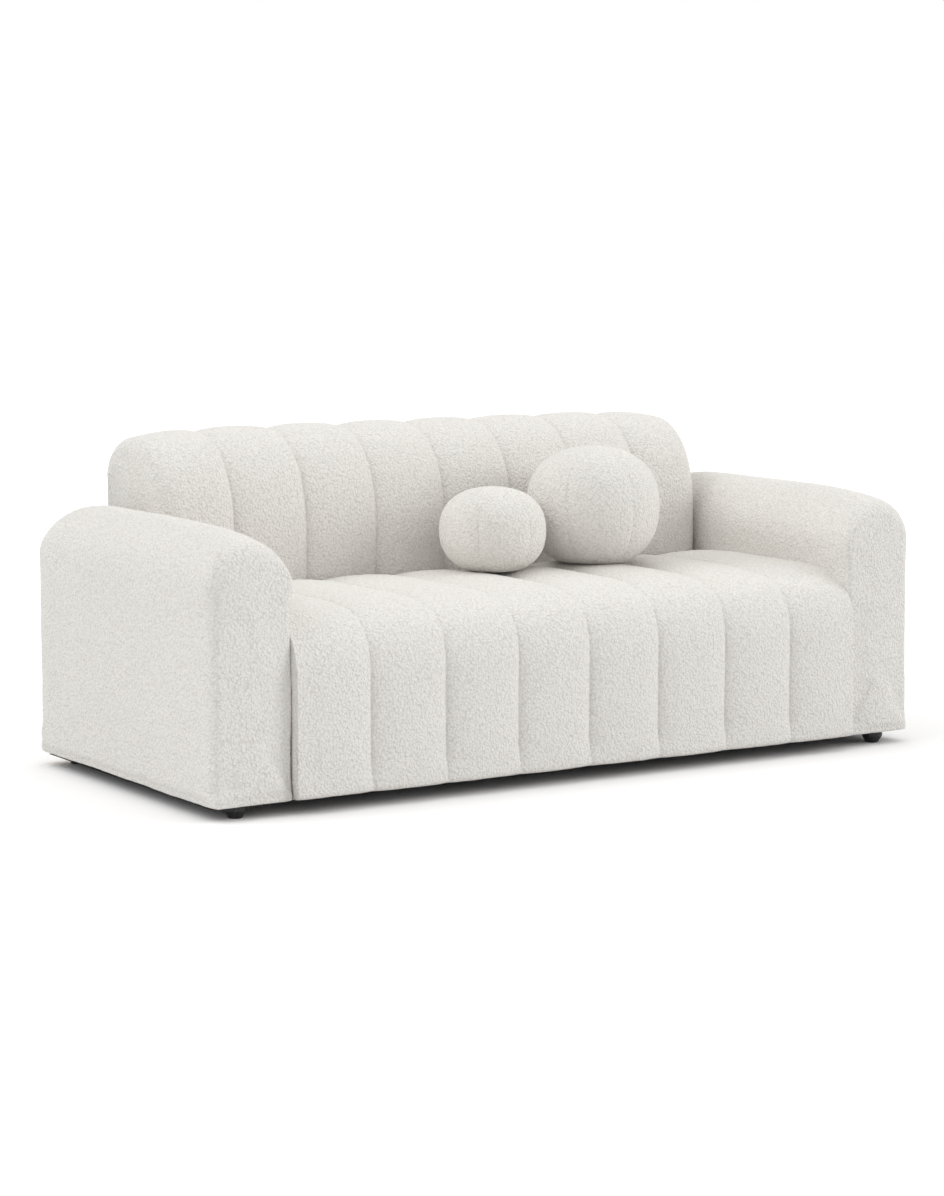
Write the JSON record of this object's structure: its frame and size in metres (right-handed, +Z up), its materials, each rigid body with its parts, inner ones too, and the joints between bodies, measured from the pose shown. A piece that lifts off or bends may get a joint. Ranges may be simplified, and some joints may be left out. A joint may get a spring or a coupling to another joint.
{
  "type": "channelled sofa with ball pillows",
  "caption": "Low straight sofa with channelled seat and back, plain arched arms lower than the back, small round feet and two loose ball pillows.",
  "frame": {"origin": "on the floor, at the middle of the sofa's bounding box", "axes": "+X to the right as seen from the front, along the width; +Y from the front to the back; +Z up"},
  "size_m": [2, 0.94, 0.812],
  "materials": {
    "boucle": "matte",
    "foam": "matte",
    "felt": "matte",
    "dust_cloth": "matte",
    "webbing": "matte",
    "timber": "matte",
    "plywood": "matte",
    "zinc_steel": "satin",
    "black_plastic": "satin"
  },
  "bodies": {
    "root": {"seat_cover": "boucle", "seat_foam": "foam", "seat_felt": "felt", "seat_springs": "zinc_steel", "spring_clips": "zinc_steel", "base_front_rail": "timber", "base_rear_rail": "timber", "base_left_rail": "timber", "base_right_rail": "timber", "base_cross_rails": "timber", "base_corner_blocks": "plywood", "seat_rear_rail": "timber", "base_dust_cover": "dust_cloth", "back_cover": "boucle", "back_left_end_cover": "boucle", "back_right_end_cover": "boucle", "back_rear_cover": "boucle", "back_foam": "foam", "back_wadding": "felt", "back_panel": "plywood", "back_top_rail": "timber", "back_left_post": "timber", "back_right_post": "timber", "back_centre_posts": "timber", "back_straps": "webbing", "back_plates": "zinc_steel", "plate_screws": "zinc_steel", "left_arm_cover": "boucle", "left_arm_foam": "foam", "left_arm_bottom_rail": "timber", "left_arm_top_rail": "timber", "left_arm_posts": "timber", "left_arm_outer_panel": "plywood", "left_arm_inner_panel": "plywood", "left_arm_dust_cover": "dust_cloth", "right_arm_cover": "boucle", "right_arm_foam": "foam", "right_arm_bottom_rail": "timber", "right_arm_top_rail": "timber", "right_arm_posts": "timber", "right_arm_outer_panel": "plywood", "right_arm_inner_panel": "plywood", "right_arm_dust_cover": "dust_cloth", "arm_bolts": "zinc_steel", "arm_washers": "zinc_steel", "arm_nuts": "zinc_steel", "front_left_foot": "black_plastic", "front_right_foot": "black_plastic", "rear_left_foot": "black_plastic", "rear_right_foot": "black_plastic", "foot_studs": "zinc_steel"},
    "small_ball": {"small_ball_cover": "boucle", "small_ball_filling": "foam"},
    "large_ball": {"large_ball_cover": "boucle", "large_ball_filling": "foam"}
  },
  "joints": [
    {"name": "small_ball_lift", "type": "slide", "parent": "root", "child": "small_ball", "axis": [0, 0, 1], "range_m": [0, 0.4]},
    {"name": "large_ball_lift", "type": "slide", "parent": "root", "child": "large_ball", "axis": [0, 0, 1], "range_m": [0, 0.4]}
  ]
}
